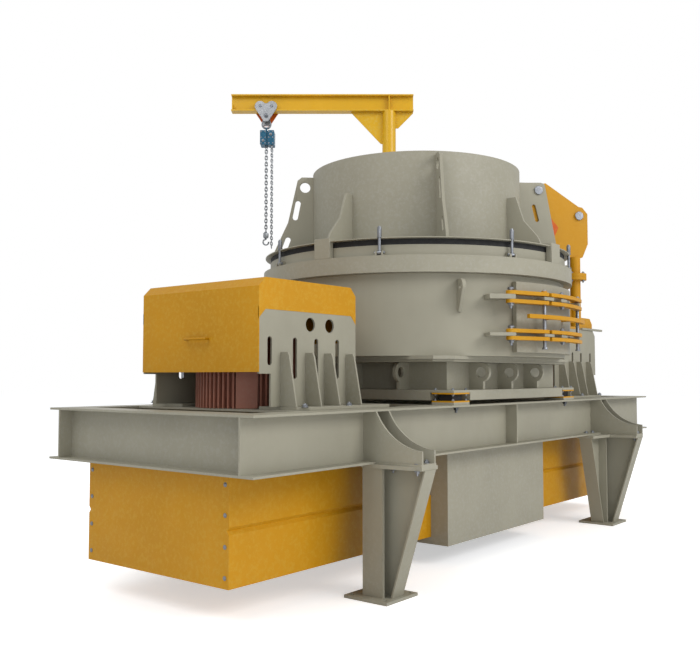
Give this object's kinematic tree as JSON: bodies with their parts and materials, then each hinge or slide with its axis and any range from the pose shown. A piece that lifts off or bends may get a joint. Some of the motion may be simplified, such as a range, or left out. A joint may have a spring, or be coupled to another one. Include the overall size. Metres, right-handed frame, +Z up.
{
  "type": "vertical-shaft impact crusher",
  "caption": "Vertical-shaft impact crusher with twin drive motors on a legged steel base, an open hopper, a hinged inspection door, a lid lifter and a small jib hoist.",
  "frame": {"origin": "crusher axis at ground level", "axes": "+Z up, +X along the base frame towards the end nearer the jib post, -Y is the side with the inspection door"},
  "size_m": [6, 3.9746, 4.465],
  "materials": {
    "grey_paint": "satin",
    "yellow_paint": "gloss",
    "rubber": "matte",
    "steel": "satin",
    "motor_paint": "satin",
    "hoist_blue": "gloss",
    "cast": "matte"
  },
  "bodies": {
    "base": {"front_long_beam": "grey_paint", "rear_long_beam": "grey_paint", "end_beams": "grey_paint", "cross_beams": "grey_paint", "leg_front_left": "grey_paint", "leg_front_right": "grey_paint", "leg_rear_left": "grey_paint", "leg_rear_right": "grey_paint", "discharge_box": "grey_paint", "deck_plate": "grey_paint", "base_box": "grey_paint", "base_rails": "grey_paint", "chamber_shell": "grey_paint", "motor_cradle_left": "grey_paint", "motor_cradle_right": "grey_paint", "jib_socket": "grey_paint", "belt_guard_left": "yellow_paint", "belt_guard_right": "yellow_paint", "isolator_plates": "yellow_paint", "hood_left": "yellow_paint", "hood_right": "yellow_paint", "lifter_bracket": "yellow_paint", "clamp_ring": "grey_paint", "isolator_rubbers": "rubber", "seal_ring": "rubber", "hinge_pins": "steel", "motor_left": "motor_paint", "motor_right": "motor_paint", "rotor": "cast", "bearing_housing": "cast"},
    "lid": {"lid_plate": "grey_paint", "hopper_shell": "grey_paint", "hopper_lugs": "grey_paint", "lifter_arm": "yellow_paint"},
    "jib": {"jib_mast": "yellow_paint", "jib_beam": "yellow_paint"},
    "jib_trolley": {"trolley": "steel", "hoist": "hoist_blue", "load_chain": "steel", "hand_chain": "steel"},
    "door_arms": {"door_links": "yellow_paint"},
    "door": {"door_plate": "grey_paint", "door_straps": "yellow_paint", "door_handle": "yellow_paint"},
    "bolt_1": {"swing_bolt_1": "steel"},
    "bolt_2": {"swing_bolt_2": "steel"},
    "bolt_3": {"swing_bolt_3": "steel"},
    "bolt_4": {"swing_bolt_4": "steel"},
    "bolt_5": {"swing_bolt_5": "steel"},
    "bolt_6": {"swing_bolt_6": "steel"},
    "bolt_7": {"swing_bolt_7": "steel"},
    "bolt_8": {"swing_bolt_8": "steel"}
  },
  "joints": [
    {"name": "jib_swing", "type": "hinge", "parent": "base", "child": "jib", "pos_m": [1.11, 1.096, 2], "axis": [0, 0, 1], "range_deg": [-90, 40]},
    {"name": "trolley_travel", "type": "slide", "parent": "jib", "child": "jib_trolley", "axis": [-0.6242, 0.7813, 0], "range_m": [-0.8, 0.2]},
    {"name": "lid_lift", "type": "slide", "parent": "base", "child": "lid", "axis": [0, 0, 1], "range_m": [0, 0.17]},
    {"name": "door_swing", "type": "hinge", "parent": "base", "child": "door_arms", "pos_m": [-0.60492, -1.26257, 1.87], "axis": [0, 0, -1], "range_deg": [0, 100]},
    {"name": "door_fold", "type": "hinge", "parent": "door_arms", "child": "door", "pos_m": [-0.27432, -1.37286, 1.87], "axis": [0, 0, -1], "range_deg": [0, 32]},
    {"name": "swing_bolt_1_turn", "type": "hinge", "parent": "base", "child": "bolt_1", "pos_m": [1.22414, 0.50706, 2.335], "axis": [-0.3827, 0.9239, 0], "range_deg": [0, 112]},
    {"name": "swing_bolt_2_turn", "type": "hinge", "parent": "base", "child": "bolt_2", "pos_m": [0.50706, 1.22414, 2.335], "axis": [-0.9239, 0.3827, 0], "range_deg": [0, 112]},
    {"name": "swing_bolt_3_turn", "type": "hinge", "parent": "base", "child": "bolt_3", "pos_m": [-0.50706, 1.22414, 2.335], "axis": [-0.9239, -0.3827, 0], "range_deg": [0, 112]},
    {"name": "swing_bolt_4_turn", "type": "hinge", "parent": "base", "child": "bolt_4", "pos_m": [-1.22414, 0.50706, 2.335], "axis": [-0.3827, -0.9239, 0], "range_deg": [0, 112]},
    {"name": "swing_bolt_5_turn", "type": "hinge", "parent": "base", "child": "bolt_5", "pos_m": [-1.22414, -0.50706, 2.335], "axis": [0.3827, -0.9239, 0], "range_deg": [0, 112]},
    {"name": "swing_bolt_6_turn", "type": "hinge", "parent": "base", "child": "bolt_6", "pos_m": [-0.50706, -1.22414, 2.335], "axis": [0.9239, -0.3827, 0], "range_deg": [0, 112]},
    {"name": "swing_bolt_7_turn", "type": "hinge", "parent": "base", "child": "bolt_7", "pos_m": [0.50706, -1.22414, 2.335], "axis": [0.9239, 0.3827, 0], "range_deg": [0, 112]},
    {"name": "swing_bolt_8_turn", "type": "hinge", "parent": "base", "child": "bolt_8", "pos_m": [1.22414, -0.50706, 2.335], "axis": [0.3827, 0.9239, 0], "range_deg": [0, 112]}
  ],
  "couplings": [
    {"joint": "door_fold", "follows": "door_swing", "ratio": 0.3},
    {"joint": "swing_bolt_1_turn", "follows": "lid_lift", "rad_per_m": 11.293},
    {"joint": "swing_bolt_2_turn", "follows": "lid_lift", "rad_per_m": 11.293},
    {"joint": "swing_bolt_3_turn", "follows": "lid_lift", "rad_per_m": 11.293},
    {"joint": "swing_bolt_4_turn", "follows": "lid_lift", "rad_per_m": 11.293},
    {"joint": "swing_bolt_5_turn", "follows": "lid_lift", "rad_per_m": 11.293},
    {"joint": "swing_bolt_6_turn", "follows": "lid_lift", "rad_per_m": 11.293},
    {"joint": "swing_bolt_7_turn", "follows": "lid_lift", "rad_per_m": 11.293},
    {"joint": "swing_bolt_8_turn", "follows": "lid_lift", "rad_per_m": 11.293}
  ]
}
